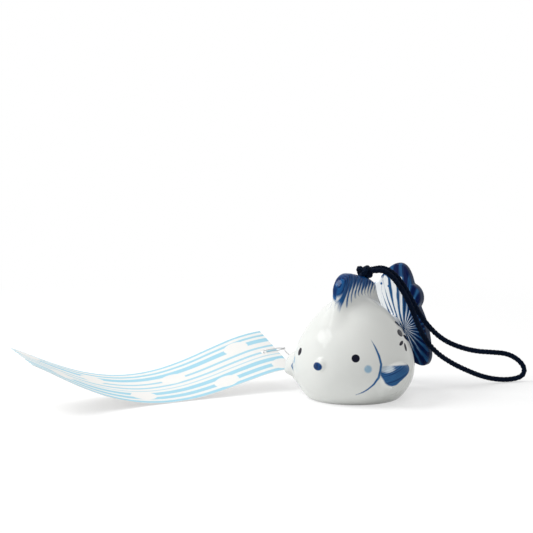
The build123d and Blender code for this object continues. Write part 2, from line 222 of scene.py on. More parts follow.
class Finish:
    """One material, with its nodes made and joined in a few words."""

    def __init__(self, name):
        self.material = bpy.data.materials.new(name)
        self.material.use_nodes = True
        self.tree = self.material.node_tree
        self.surface = self.tree.nodes["Principled BSDF"]

    def node(self, kind, **settings):
        made = self.tree.nodes.new("ShaderNode" + kind)
        for key, value in settings.items():
            setattr(made, key, value)
        return made

    def feed(self, socket, value):
        if isinstance(value, bpy.types.NodeSocket):
            self.tree.links.new(value, socket)
        else:
            socket.default_value = value

    def math(self, operation, first, second=0.0, third=0.0):
        made = self.node("Math", operation=operation)
        for socket, value in zip(made.inputs, (first, second, third)):
            self.feed(socket, value)
        return made.outputs[0]

    def times(self, first, second):
        return self.math("MULTIPLY", first, second)

    def plus(self, first, scale, second):
        """The first value scaled, and the second added."""
        return self.math("MULTIPLY_ADD", first, scale, second)

    def fade(self, value, start, end):
        """0 where value is at start, 1 where it is at end."""
        made = self.node("MapRange", interpolation_type="SMOOTHSTEP")
        for socket, given in zip(made.inputs, (value, start, end, 0.0, 1.0)):
            self.feed(socket, given)
        return made.outputs[0]

    def mix(self, share, first, second):
        made = self.node("Mix", data_type="RGBA")
        self.feed(made.inputs[0], share)
        for socket, value in ((made.inputs[6], first), (made.inputs[7], second)):
            self.feed(socket, value if isinstance(value, bpy.types.NodeSocket) else (*value, 1.0))
        return made.outputs[2]

    def attribute(self, name):
        return self.node("Attribute", attribute_name=name).outputs["Fac"]

    def place(self):
        return self.node("TexCoord").outputs["Object"]

    def combine(self, x, y, z=0.0):
        made = self.node("CombineXYZ")
        for socket, value in zip(made.inputs, (x, y, z)):
            self.feed(socket, value)
        return made.outputs[0]

    def noise(self, where, scale, detail=2.0, roughness=0.5):
        made = self.node("TexNoise")
        self.feed(made.inputs["Vector"], where)
        made.inputs["Scale"].default_value = scale
        made.inputs["Detail"].default_value = detail
        made.inputs["Roughness"].default_value = roughness
        return made.outputs["Fac"]

    def streaks(self, first, first_scale, second, second_scale, layer=0.0, detail=2.0, roughness=0.5):
        """Noise drawn out along a stroke, on two numbers with a scale each."""
        where = self.combine(self.times(first, first_scale), self.times(second, second_scale), layer)
        return self.noise(where, 1.0, detail, roughness)

    def bump(self, height, strength, distance):
        made = self.node("Bump")
        made.inputs["Strength"].default_value = strength
        made.inputs["Distance"].default_value = distance
        self.feed(made.inputs["Height"], height)
        self.feed(self.surface.inputs["Normal"], made.outputs["Normal"])

    def set(self, **values):
        for name, value in values.items():
            self.feed(self.surface.inputs[name.replace("_", " ")], value)


def glaze_ground(finish, glaze):
    """White porcelain under a clear glaze: a faint mottling and a slightly wavy skin."""
    cloud = finish.noise(finish.place(), 45.0, 3.0)
    skin = finish.noise(finish.place(), 260.0, 2.0)
    finish.bump(skin, 0.05, 0.0002)
    finish.set(IOR=1.5, Specular_IOR_Level=0.11)
    rough = finish.fade(finish.noise(finish.place(), 120.0, 2.0), 0.2, 0.8)
    finish.set(Roughness=finish.plus(rough, 0.05, 0.06))
    return finish.mix(finish.fade(cloud, 0.35, 0.7), *glaze)


def ink_side_fin(finish, colour):
    """Blue laid on in rows over a pale wash, which shows at the fin's bare front."""
    side = finish.attribute("side_fin")
    rows = finish.streaks(finish.attribute("side_fin_row"), 2.7, side, 0.12, detail=3.0)
    mask = finish.fade(side, 0.3, -0.5)
    thin = finish.fade(finish.attribute("side_fin_bare"), -0.2, 1.6)
    load = finish.fade(finish.plus(rows, 0.5, thin), 0.15, 0.55)
    ink = finish.mix(finish.fade(rows, 0.3, 0.7), *SIDE_FIN_INKS)
    colour = finish.mix(finish.times(mask, 0.4), colour, WASH_BLUE)
    return finish.mix(finish.times(mask, load), colour, ink)


def ink_crest(finish, colour):
    """Strokes that run down from the back fin's edge and thin out into bare glaze."""
    crest = finish.attribute("crest_height")
    lean = finish.attribute("crest_along")
    sway = finish.streaks(lean, 0.35, crest, 0.8, 3.0)
    rib = finish.math("SINE", finish.plus(lean, 2.0, finish.times(sway, 5.0)))
    hairs = finish.streaks(lean, 2.2, crest, 0.9, 9.0)
    bare = finish.plus(hairs, 0.36, finish.plus(rib, 0.24, finish.attribute("crest_bare")))
    wash = finish.fade(finish.math("SUBTRACT", crest, bare), -0.18, 0.24)
    load = finish.plus(bare, -0.7, finish.plus(hairs, 0.45, crest))
    streak = finish.streaks(lean, 1.9, crest, 0.5, 21.0)
    deep = finish.times(finish.fade(load, 0.2, 0.95), finish.fade(streak, 0.3, 0.6))
    return finish.mix(wash, colour, finish.mix(deep, SEA_BLUE, DEEP_COBALT))


def painted_porcelain():
    """Glazed white body with brushed cobalt: dots, gill strokes, petals and washed fins."""
    finish = Finish("painted_porcelain")
    colour = glaze_ground(finish, BODY_GLAZE)
    grain = finish.noise(finish.place(), 900.0, 3.0)
    pool = finish.noise(finish.place(), 330.0, 2.0)
    pooled = finish.fade(pool, 0.35, 0.65)

    cheek = finish.fade(finish.attribute("cheek_dot"), 0.45, -0.7)
    colour = finish.mix(finish.times(cheek, finish.fade(pool, -0.4, 0.6)), colour, WASH_BLUE)
    gill = finish.fade(finish.attribute("gill_stroke"), 0.18, -0.3)
    gill_share = finish.times(gill, finish.fade(grain, -0.9, 0.5))
    colour = finish.mix(gill_share, colour, finish.mix(pooled, *GILL_INKS))
    colour = ink_side_fin(finish, colour)
    colour = ink_crest(finish, colour)
    mouth = finish.fade(finish.attribute("mouth_dot"), 0.22, -0.35)
    colour = finish.mix(mouth, colour, finish.mix(pooled, *MOUTH_INKS))
    colour = finish.mix(finish.fade(finish.attribute("navy_dot"), 0.16, -0.22), colour, NAVY)
    finish.set(Base_Color=colour)
    return finish.material


def tail_porcelain():
    """Glazed tail, its white painted lighter than the body's as painted light: strokes fan out from a root
    and run together towards the rim.
    """
    finish = Finish("tail_porcelain")
    colour = glaze_ground(finish, TAIL_GLAZE_WITH_PAINTED_LIGHT)
    sweep = finish.attribute("fan_sweep")
    reach = finish.attribute("fan_reach")
    sway = finish.streaks(sweep, 5.0, reach, 2.5, 7.0)
    stroke = finish.math("SINE", finish.plus(sweep, 27.0, finish.times(sway, 4.0)))
    hairs = finish.streaks(sweep, 34.0, reach, 2.0, 5.0)
    load = finish.plus(stroke, 0.36, finish.plus(hairs, 0.7, 0.15))
    over = finish.math("ADD", finish.math("SUBTRACT", load, 1.0), finish.attribute("fan_cover"))
    deep = finish.fade(finish.plus(hairs, 0.5, over), 0.25, 1.0)
    colour = finish.mix(finish.fade(over, -0.16, 0.16), colour, finish.mix(deep, *TAIL_INKS))
    colour = finish.mix(finish.fade(finish.attribute("fan_dot"), 0.2, -0.3), colour, SEA_BLUE)
    # Darker along the tail's rim, where its faces turn sideways
    rim = finish.fade(finish.attribute("fan_rim"), 0.35, 0.95)
    colour = finish.mix(finish.times(rim, 0.85), colour, TAIL_RIM_DARK)
    finish.set(Base_Color=colour)
    return finish.material


def bead_porcelain():
    """Plain glazed clapper bead."""
    finish = Finish("bead_porcelain")
    finish.set(Base_Color=glaze_ground(finish, BODY_GLAZE))
    return finish.material


def dyed_yarn(name, dark, light):
    """Dyed yarn: fine fibres along each strand and hardly any gloss."""
    finish = Finish(name)
    along = finish.attribute("strand_along")
    fibres = finish.streaks(along, 0.9, finish.attribute("strand_across"), 9.0, detail=3.0)
    worn = finish.noise(finish.place(), 90.0, 2.0)
    share = finish.plus(worn, 0.35, finish.times(fibres, 0.75))
    finish.set(Base_Color=finish.mix(finish.fade(share, 0.35, 0.8), dark, light))
    finish.set(Roughness=finish.plus(fibres, 0.2, 0.55))
    finish.set(Sheen_Weight=0.01, Sheen_Roughness=0.4, Specular_IOR_Level=0.04)
    finish.bump(fibres, 0.35, 0.0001)
    return finish.material


def striped_paper():
    """Warm white paper with pale blue bands along it and bare ovals left between them."""
    finish = Finish("striped_paper")
    split = finish.node("SeparateXYZ")
    finish.feed(split.inputs[0], finish.node("UVMap", uv_map="strip").outputs[0])
    across, along = split.outputs[0], split.outputs[1]
    wander = finish.streaks(along, 14.0, across, 6.0)
    line = finish.plus(finish.math("SUBTRACT", wander, 0.5), 0.008, across)
    bands = 0.0
    for middle, half, strength in STRIPES:
        off = finish.math("ABSOLUTE", finish.math("SUBTRACT", line, middle))
        band = finish.times(finish.fade(off, half + STRIPE_EDGE, half - STRIPE_EDGE), strength)
        bands = finish.math("MAXIMUM", bands, band)
    for middle, place in OVALS:
        wide = finish.math("DIVIDE", finish.math("SUBTRACT", line, middle), OVAL_HALF[0])
        long = finish.math("DIVIDE", finish.math("SUBTRACT", along, place), OVAL_HALF[1])
        far = finish.math("ADD", finish.times(wide, wide), finish.times(long, long))
        bands = finish.times(bands, finish.fade(far, 0.93, 1.07))
    fibre = finish.streaks(across, 300.0, along, 500.0, detail=4.0, roughness=0.65)
    shade = finish.fade(fibre, 0.3, 0.75)
    printed = finish.times(bands, finish.attribute("printed_face"))
    colour = finish.mix(printed, finish.mix(shade, *PAPER_TINTS), finish.mix(shade, *BAND_TINTS))
    finish.set(Base_Color=colour)
    finish.set(Roughness=finish.plus(fibre, 0.2, 0.62))
    finish.bump(fibre, 0.15, 0.0001)
    return finish.material


# Meshes

def new_piece(name, vertices, faces, material, smooth=True):
    mesh = bpy.data.meshes.new(name)
    mesh.from_pydata(vertices, [], faces)
    mesh.validate()
    if smooth:
        mesh.shade_smooth()
    mesh.materials.append(material)
    piece = bpy.data.objects.new(name, mesh)
    bpy.context.collection.objects.link(piece)
    return piece


def set_numbers(mesh, name, values):
    """Store one number a point on the mesh, for its finish to read."""
    field = mesh.attributes.new(name, "FLOAT", "POINT")
    field.data.foreach_set("value", np.asarray(values, dtype=np.float32).ravel())


def points_of(mesh):
    flat = np.empty(len(mesh.vertices) * 3, dtype=np.float32)
    mesh.vertices.foreach_get("co", flat)
    return flat.reshape(-1, 3).astype(np.float64) / MM


def set_points(mesh, points):
    """Move the mesh's points to these places, in millimetres."""
    mesh.vertices.foreach_set("co", (points * MM).astype(np.float32).ravel())
    mesh.update()


def ramp(values, start, end):
    """0 where the values are at start or before it, 1 where they are at end or past it."""
    return np.clip((values - start) / (end - start), 0.0, 1.0)


def paint(piece, finish):
    """Give the piece this finish and no other."""
    piece.data.materials.clear()
    piece.data.materials.append(finish)


def plain_mesh(piece, name):
    """The piece's shape with its modifiers done, as a mesh of its own."""
    bpy.context.view_layer.update()
    shaped = piece.evaluated_get(bpy.context.evaluated_depsgraph_get())
    mesh = bpy.data.meshes.new_from_object(shaped)
    mesh.name = name
    return mesh


def smooth_line(name, route, closed=False, resolution=20):
    """Points along the NURBS line that the route's points control."""
    curve = bpy.data.curves.new(name + "_line", "CURVE")
    curve.dimensions = "3D"
    spline = curve.splines.new("NURBS")
    spline.points.add(len(route) - 1)
    for point, place in zip(spline.points, route):
        point.co = (*place, 1.0)
    spline.order_u = 3
    spline.use_cyclic_u = closed
    spline.use_endpoint_u = not closed
    spline.resolution_u = resolution
    guide = bpy.data.objects.new(name + "_line", curve)
    bpy.context.collection.objects.link(guide)
    mesh = plain_mesh(guide, name + "_points")
    line = [vertex.co.copy() for vertex in mesh.vertices]
    bpy.data.objects.remove(guide)
    bpy.data.curves.remove(curve)
    bpy.data.meshes.remove(mesh)
    return line


def carried_frames(line, closed=False):
    """Directions along a line and two sideways directions carried along it without twisting."""
    count = len(line)
    along = []
    for number in range(count):
        before = line[number - 1] if number or closed else line[0]
        after = line[(number + 1) % count] if number < count - 1 or closed else line[-1]
        along.append((after - before).normalized())
    side = along[0].orthogonal().normalized()
    frames = []
    for direction in along:
        side = (side - direction * side.dot(direction)).normalized()
        frames.append((direction, side, direction.cross(side)))
    return frames


def lengths_along(line):
    total = [0.0]
    for before, after in zip(line, line[1:]):
        total.append(total[-1] + (after - before).length)
    return total


class Yarn:
    """Gathers tubes of yarn into one mesh, with numbers for their fibres."""

    def __init__(self):
        self.vertices, self.faces, self.along, self.across = [], [], [], []

    def tube(self, centres, outs, sides_out, half_out, half_side, ring, lengths, closed=False, phase=0.0):
        start = len(self.vertices)
        for centre, out, side, length in zip(centres, outs, sides_out, lengths):
            for step in range(ring):
                angle = 2 * math.pi * step / ring
                off_side = centre + out * (half_out * math.cos(angle))
                self.vertices.append(off_side + side * (half_side * math.sin(angle)))
                self.along.append(length / MM)
                self.across.append(math.cos(angle) + phase)
        count = len(centres)
        for row in range(count if closed else count - 1):
            low, high = start + row * ring, start + (row + 1) % count * ring
            for step in range(ring):
                after = (step + 1) % ring
                self.faces.append((low + step, low + after, high + after, high + step))
        if not closed:
            self.faces.append(tuple(start + step for step in reversed(range(ring))))
            self.faces.append(tuple(start + (count - 1) * ring + step for step in range(ring)))

    def piece(self, name, material):
        made = new_piece(name, self.vertices, self.faces, material)
        set_numbers(made.data, "strand_along", self.along)
        set_numbers(made.data, "strand_across", self.across)
        return made


def braid(yarn, line, diameter, closed=False, lay=10.0):
    """Eight strands plaited over and under one another round a core."""
    frames = carried_frames(line, closed)
    lengths = lengths_along(line)
    radius = diameter / 2 * MM
    total = lengths[-1] + ((line[0] - line[-1]).length if closed else 0.0)
    turns = total / (lay * MM)
    if closed:
        turns = max(1, round(turns))
    strand_thick, strand_wide, wave = radius * 0.25, radius * 0.42, radius * 0.12
    middle = radius - strand_thick - wave
    slip = 0.0
    if closed:
        last = frames[-1]
        first = frames[0]
        slip = math.atan2(first[1].dot(last[2]), first[1].dot(last[1]))
    for hand in (-1, 1):
        for strand in range(4):
            centres, outs, sides_out = [], [], []
            for (direction, side, up), place, length in zip(frames, line, lengths):
                share = length / total
                angle = hand * 2 * math.pi * turns * share + strand * math.pi / 2 + slip * share
                out = side * math.cos(angle) + up * math.sin(angle)
                lift = hand * wave * math.cos(8 * math.pi * turns * share)
                centres.append(place + out * (middle + lift))
                outs.append(out)
                run = direction * (lay * MM) + direction.cross(out) * (hand * 2 * math.pi * middle)
                sides_out.append(run.cross(out).normalized())
            phase = strand * 3.0 + hand
            yarn.tube(centres, outs, sides_out, strand_thick, strand_wide, 8, lengths, closed, phase)
    sides = [side for direction, side, up in frames]
    ups = [up for direction, side, up in frames]
    yarn.tube(line, sides, ups, middle * 0.92, middle * 0.92, 10, lengths, closed)


def twist(yarn, line, diameter, closed=False, lay=2.4):
    """Two plies of thread twisted round each other."""
    frames = carried_frames(line, closed)
    lengths = lengths_along(line)
    radius = diameter / 2 * MM
    total = lengths[-1] + ((line[0] - line[-1]).length if closed else 0.0)
    turns = max(1, round(total / (lay * MM)))
    ply, offset = radius * 0.56, radius * 0.44
    for strand in range(2):
        centres, outs, sides_out = [], [], []
        for (direction, side, up), place, length in zip(frames, line, lengths):
            angle = 2 * math.pi * turns * length / total + strand * math.pi
            out = side * math.cos(angle) + up * math.sin(angle)
            centres.append(place + out * offset)
            outs.append(out)
            sides_out.append(direction.cross(out))
        yarn.tube(centres, outs, sides_out, ply, ply, 8, lengths, closed, strand * 2.0)


def knot_route(middle, wide, high, turn, steps=30):
    """Points of an overhand knot drawn together round its middle."""
    route = []
    for step in range(steps):
        angle = 2 * math.pi * step / steps
        x = math.sin(angle) + 2 * math.sin(2 * angle)
        y = math.cos(angle) - 2 * math.cos(2 * angle)
        bend = Vector((x * wide / 3, y * wide / 3, -high * math.sin(3 * angle)))
        route.append((middle + Matrix.Rotation(turn, 3, "Z") @ bend) * MM)
    return route


def knot_line(name, middle, wide, high, turn, resolution):
    """Closed line through a knot's points."""
    return smooth_line(name, knot_route(middle, wide, high, turn), closed=True, resolution=resolution)


def upright_line(low, high, steps):
    """Points up the hanging line between two heights."""
    return [(HANG_LINE + UP * (low + (high - low) * step / steps)) * MM for step in range(steps + 1)]


def lying(route):
    """Route points turned from the loop's heading into the object's own axes, in metres."""
    turn = Matrix.Rotation(CORD_HEADING, 3, "Z")
    return [turn @ Vector(point) * MM for point in route]


def fuzz_tree(finish):
    """Short loose fibres standing off a cord's strands, at sizes given by its inputs."""
    tree = bpy.data.node_groups.new("cord_fuzz", "GeometryNodeTree")
    sockets = {}
    for name, kind in (("Cord", "Geometry"), ("Fibres a Square Metre", "Float"), ("Fibre Length", "Float"),
                       ("Fibre Radius", "Float"), ("Seed", "Int")):
        socket = tree.interface.new_socket(name, in_out="INPUT", socket_type="NodeSocket" + kind)
        sockets[name] = socket.identifier
    tree.interface.new_socket("Fibres", in_out="OUTPUT", socket_type="NodeSocketGeometry")
    given = tree.nodes.new("NodeGroupInput")
    made = tree.nodes.new("NodeGroupOutput")
    scatter = tree.nodes.new("GeometryNodeDistributePointsOnFaces")
    fibre = tree.nodes.new("GeometryNodeMeshCone")
    lean = tree.nodes.new("FunctionNodeRandomValue")
    turned = tree.nodes.new("FunctionNodeRotateRotation")
    length = tree.nodes.new("FunctionNodeRandomValue")
    copies = tree.nodes.new("GeometryNodeInstanceOnPoints")
    real = tree.nodes.new("GeometryNodeRealizeInstances")
    dyed = tree.nodes.new("GeometryNodeSetMaterial")
    fibre.inputs["Vertices"].default_value = 3
    fibre.inputs["Radius Top"].default_value = 0.0
    lean.data_type = "FLOAT_VECTOR"
    lean.inputs["Min"].default_value = (-FIBRE_LEAN, -FIBRE_LEAN, 0.0)
    lean.inputs["Max"].default_value = (FIBRE_LEAN, FIBRE_LEAN, FIBRE_TURN)
    turned.rotation_space = "LOCAL"
    length.data_type = "FLOAT"
    length.inputs[2].default_value = SHORTEST_FIBRE
    length.inputs[3].default_value = 1.0
    dyed.inputs["Material"].default_value = finish
    join = tree.links.new
    join(given.outputs["Cord"], scatter.inputs["Mesh"])
    join(given.outputs["Fibres a Square Metre"], scatter.inputs["Density"])
    join(given.outputs["Seed"], scatter.inputs["Seed"])
    join(given.outputs["Seed"], lean.inputs["Seed"])
    join(given.outputs["Seed"], length.inputs["Seed"])
    join(given.outputs["Fibre Length"], fibre.inputs["Depth"])
    join(given.outputs["Fibre Radius"], fibre.inputs["Radius Bottom"])
    join(scatter.outputs["Points"], copies.inputs["Points"])
    join(scatter.outputs["Rotation"], turned.inputs["Rotation"])
    join(lean.outputs["Value"], turned.inputs["Rotate By"])
    join(fibre.outputs["Mesh"], copies.inputs["Instance"])
    join(turned.outputs["Rotation"], copies.inputs["Rotation"])
    join(length.outputs[1], copies.inputs["Scale"])
    join(copies.outputs["Instances"], real.inputs["Geometry"])
    join(real.outputs["Geometry"], dyed.inputs["Geometry"])
    join(dyed.outputs["Geometry"], made.inputs["Fibres"])
    return tree, sockets


def add_fuzz(cord, body, tree, sockets, seed):
    """Loose fibres over one cord, as a plain mesh that moves with the cord's body."""
    name = cord.name + "_fuzz"
    holder = bpy.data.objects.new(name, cord.data.copy())
    bpy.context.collection.objects.link(holder)
    grow = holder.modifiers.new("loose_fibres", "NODES")
    grow.node_group = tree
    grow[sockets["Fibres a Square Metre"]] = FIBRES_A_SQUARE_METRE
    grow[sockets["Fibre Length"]] = FIBRE_LENGTH
    grow[sockets["Fibre Radius"]] = FIBRE_RADIUS
    grow[sockets["Seed"]] = seed
    mesh = plain_mesh(holder, name)
    holder.modifiers.clear()
    holder.data = mesh
    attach(holder, body)
    return holder


# Camera, lamps and table

def set_camera():
    camera = bpy.data.cameras.new("photo_camera")
    camera.lens = CAMERA_LENS
    camera.sensor_width = 36.0
    camera.clip_start = 0.01
    camera.clip_end = 20.0
    holder = bpy.data.objects.new("photo_camera", camera)
    holder.location = CAMERA_PLACE
    holder.rotation_euler = (math.radians(CAMERA_TILT), 0.0, math.radians(CAMERA_HEADING))
    bpy.context.collection.objects.link(holder)
    bpy.context.scene.camera = holder


def set_lamp(name, place, aim, size, power):
    lamp = bpy.data.lights.new(name, "AREA")
    lamp.shape = "RECTANGLE"
    lamp.size, lamp.size_y = size
    lamp.energy = power
    holder = bpy.data.objects.new(name, lamp)
    holder.location = place
    holder.rotation_euler = (Vector(aim) - Vector(place)).to_track_quat("-Z", "Y").to_euler()
    bpy.context.collection.objects.link(holder)


def seen_ray(tree):
    """1 for rays that show the background: straight, mirrored or through glass."""
    path = tree.nodes.new("ShaderNodeLightPath")
    total = path.outputs["Is Camera Ray"]
    for name in ("Is Glossy Ray", "Is Transmission Ray"):
        largest = tree.nodes.new("ShaderNodeMath")
        largest.operation = "MAXIMUM"
        tree.links.new(total, largest.inputs[0])
        tree.links.new(path.outputs[name], largest.inputs[1])
        total = largest.outputs[0]
    return total


def set_room():
    """White surroundings, soft light from the whole room, a large lamp at the upper left and one overhead."""
    scene = bpy.context.scene
    scene.view_settings.view_transform = "Standard"
    world = bpy.data.worlds.new("white_room")
    world.use_nodes = True
    scene.world = world
    tree = world.node_tree
    background = tree.nodes["Background"]
    level = tree.nodes.new("ShaderNodeMapRange")
    tree.links.new(seen_ray(tree), level.inputs[0])
    level.inputs[3].default_value = ROOM_LIGHT
    level.inputs[4].default_value = 1.0
    tree.links.new(level.outputs[0], background.inputs["Strength"])
    background.inputs["Color"].default_value = (1.0, 1.0, 1.0, 1.0)
    set_lamp("window_lamp", **WINDOW_LAMP)
    set_lamp("top_lamp", **TOP_LAMP)


def set_table():
    """Pale table that fades into the white room away from the object."""
    finish = Finish("pale_table")
    grain = finish.noise(finish.place(), 60.0, 2.0)
    finish.set(Base_Color=finish.mix(grain, *TABLE_TINTS), Roughness=0.9, Specular_IOR_Level=0.0)
    glow = finish.node("Emission")
    glow.inputs["Strength"].default_value = 1.0
    far = finish.node("VectorMath", operation="LENGTH")
    finish.feed(far.inputs[0], finish.place())
    edge = finish.plus(finish.fade(far.outputs["Value"], *TABLE_FADE), 1.0 - TABLE_GLOW, TABLE_GLOW)
    share = finish.times(edge, seen_ray(finish.tree))
    blend = finish.node("MixShader")
    finish.feed(blend.inputs[0], share)
    finish.feed(blend.inputs[1], finish.surface.outputs[0])
    finish.feed(blend.inputs[2], glow.outputs[0])
    finish.feed(finish.tree.nodes["Material Output"].inputs["Surface"], blend.outputs[0])
    half = TABLE_HALF
    corners = [(-half, -half, 0.0), (half, -half, 0.0), (half, half, 0.0), (-half, half, 0.0)]
    table = new_piece("table", corners, [(0, 1, 2, 3)], finish.material, smooth=False)


# Cord, knots and threads

def yarn_piece(yarn, name, finish, body, nodes):
    """One piece of yarn that rides on a body, in place of the plain solids of these nodes."""
    piece = yarn.piece(name, finish)
    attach(piece, body)
    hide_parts(*nodes)
    return piece


def make_cord():
    """Braided hanging loop, the knots that hold it on the crown, and their loose fibres."""
    navy = dyed_yarn("navy_cord", *NAVY_YARN)
    loop_line = smooth_line("hanging_loop", lying(CORD_ROUTE))
    loop_yarn = Yarn()
    braid(loop_yarn, loop_line, CORD_DIAMETER)
    loop = yarn_piece(loop_yarn, "hanging_loop", navy, "hanger", ["hanging_cord"])

    knot_yarn = Yarn()
    crown = knot_line("crown_knot", TOP_KNOT, wide=3.45, high=2.1, turn=0.5, resolution=10)
    under = knot_line("under_knot", INNER_KNOT, wide=2.7, high=1.3, turn=0.0, resolution=10)
    braid(knot_yarn, crown, TOP_KNOT_CORD, closed=True)
    braid(knot_yarn, under, INNER_KNOT_CORD, closed=True)
    braid(knot_yarn, upright_line(*CROWN_CORD_ENDS, steps=60), CROWN_CORD)
    held = ["top_knot", "crown_cord", "inner_knot"]
    knots = yarn_piece(knot_yarn, "crown_knots", navy, "bell", held)

    tree, sockets = fuzz_tree(navy)
    loop_fuzz = add_fuzz(loop, "hanger", tree, sockets, seed=3)
    add_fuzz(knots, "bell", tree, sockets, seed=8)


def make_clapper_thread(pale):
    """Hitch under the crown, and the clapper's own thread with its stop knot."""
    hitch_yarn = Yarn()
    hitch = knot_line("thread_hitch", HITCH, wide=1.15, high=0.6, turn=0.4, resolution=8)
    twist(hitch_yarn, hitch, THREAD_DIAMETER, closed=True)
    yarn_piece(hitch_yarn, "thread_hitch_knot", pale, "hitch", ["thread_hitch"])

    clapper_yarn = Yarn()
    stop = knot_line("stop_knot", CLAPPER_KNOT, wide=1.3, high=0.7, turn=1.1, resolution=8)
    twist(clapper_yarn, upright_line(*CLAPPER_THREAD_ENDS, steps=110), THREAD_DIAMETER)
    twist(clapper_yarn, stop, THREAD_DIAMETER, closed=True)
    held = ["clapper_thread", "clapper_knot", "tail_thread"]
    yarn_piece(clapper_yarn, "clapper_line", pale, "clapper", held)


def make_strip_thread(pale):
    """Thread that lies under the rim and runs up to the paper strip."""
    line = smooth_line("strip_line", [Vector(point) * MM for point in THREAD_ROUTE], resolution=16)
    yarn = Yarn()
    twist(yarn, line, THREAD_DIAMETER)
    thread = yarn_piece(yarn, "strip_line", pale, "bell", ["strip_thread"])


# Paper strip

def strip_frame(share):
    """Directions along and across the strip at a share of its length from the far end."""
    heading = math.radians(STRIP_HEADING + STRIP_DRIFT * (share - 0.5))
    place = share * (len(STRIP_SLOPES) - 1)
    low = min(int(place), len(STRIP_SLOPES) - 2)
    slope = math.radians(STRIP_SLOPES[low] + (STRIP_SLOPES[low + 1] - STRIP_SLOPES[low]) * (place - low))
    roll = math.radians(STRIP_ROLLS[0] + (STRIP_ROLLS[1] - STRIP_ROLLS[0]) * share)
    level_run = math.cos(slope)
    along = Vector((level_run * math.cos(heading), level_run * math.sin(heading), math.sin(slope)))
    level = Vector((-math.sin(heading), math.cos(heading), 0.0))
    return along, level * math.cos(roll) + along.cross(level) * math.sin(roll)


def strip_rows():
    """Middle points and directions along the strip, from the far end to the tied end."""
    frames = [strip_frame(step / STRIP_STEPS) for step in range(STRIP_STEPS + 1)]
    places = [Vector()]
    for before, after in zip(frames, frames[1:]):
        places.append(places[-1] + (before[0] + after[0]) * (STRIP_LENGTH / STRIP_STEPS / 2))
    shift = STRIP_MIDDLE - places[STRIP_STEPS // 2]
    return [(place + shift, along, across) for place, (along, across) in zip(places, frames)]


def strip_sheet(rows):
    """Thin sheet on a grid that follows the rows, with a map of the flat strip for its print."""
    vertices, faces, cuts = [], [], []
    for side in (1, -1):
        for number, (place, along, across) in enumerate(rows):
            out = along.cross(across) * (side * STRIP_THICKNESS / 2)
            for column in range(STRIP_COLUMNS + 1):
                share = column / STRIP_COLUMNS
                vertices.append((place + across * ((share - 0.5) * STRIP_WIDTH) + out) * MM)
                cuts.append((share, (number + STRIP_TRIM_ROWS) / STRIP_STEPS))
    width, last = STRIP_COLUMNS + 1, len(rows) - 1
    layer = width * len(rows)
    for number in range(last):
        for column in range(STRIP_COLUMNS):
            a = number * width + column
            b, c, d = a + 1, a + width + 1, a + width
            faces.append((a, d, c, b))
            faces.append((layer + a, layer + b, layer + c, layer + d))
    border = list(range(STRIP_COLUMNS))
    border += [number * width + STRIP_COLUMNS for number in range(last)]
    border += [last * width + STRIP_COLUMNS - column for column in range(STRIP_COLUMNS)]
    border += [(last - number) * width for number in range(last)]
    for a, b in zip(border, border[1:] + border[:1]):
        faces.append((a, b, layer + b, layer + a))
    sheet = new_piece("paper_sheet", vertices, faces, striped_paper(), smooth=False)
    grid = sheet.data.uv_layers.new(name="strip")
    for loop in sheet.data.loops:
        grid.data[loop.index].uv = cuts[loop.vertex_index]
    set_numbers(sheet.data, "printed_face", [1.0] * layer + [0.0] * layer)
    return sheet


def punch_hole(sheet, row):
    """Cut the thread's round hole through the sheet at one of its rows."""
    place, along, across = row
    radius = STRIP_HOLE_RADIUS * MM
    punch = bmesh.new()
    bmesh.ops.create_cone(
        punch, cap_ends=True, segments=32, radius1=radius, radius2=radius, depth=PUNCH_LENGTH * MM
    )
    lie = along.cross(across).to_track_quat("Z", "Y").to_matrix().to_4x4()
    bmesh.ops.transform(punch, matrix=Matrix.Translation(place * MM) @ lie, verts=punch.verts)
    punch_mesh = bpy.data.meshes.new("hole_punch")
    punch.to_mesh(punch_mesh)
    punch.free()
    puncher = bpy.data.objects.new("hole_punch", punch_mesh)
    bpy.context.collection.objects.link(puncher)
    cut = sheet.modifiers.new("punched_hole", "BOOLEAN")
    cut.operation = "DIFFERENCE"
    cut.solver = "EXACT"
    cut.object = puncher
    punched = plain_mesh(sheet, "paper_sheet")
    sheet.modifiers.clear()
    sheet.data = punched
    bpy.data.objects.remove(puncher)


def make_strip(pale):
    """Curled paper strip with its punched hole, tied to the end of its thread."""
    rows = strip_rows()[STRIP_TRIM_ROWS:]
    hole = rows[-1 - round(STRIP_HOLE_MARGIN / STRIP_LENGTH * STRIP_STEPS)]
    sheet = strip_sheet(rows)
    punch_hole(sheet, hole)
    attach(sheet, "strip")
    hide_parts("paper_strip")

    run = (STRIP_KNOT - hole[0]).length
    tie = (STRIP_KNOT - hole[0]).normalized()
    end_across = rows[-1][2]
    up = end_across.cross(tie).normalized() * -1.0
    route = [(hole[0] + tie * (run * share) + up * lift) * MM for share, lift in TIE_ROUTE]
    tie_yarn = Yarn()
    twist(tie_yarn, smooth_line("strip_tie", route, closed=True, resolution=12), THREAD_DIAMETER, closed=True)
    tied = yarn_piece(tie_yarn, "strip_tie_loop", pale, "strip", ["strip_loop"])

    knot_yarn = Yarn()
    knot = knot_line("tie_knot", STRIP_KNOT, wide=0.95, high=0.5, turn=0.2, resolution=8)
    twist(knot_yarn, knot, TIE_KNOT_THREAD, closed=True)
    yarn_piece(knot_yarn, "strip_tie_knot", pale, "strip_tie", ["strip_knot"])


# Porcelain

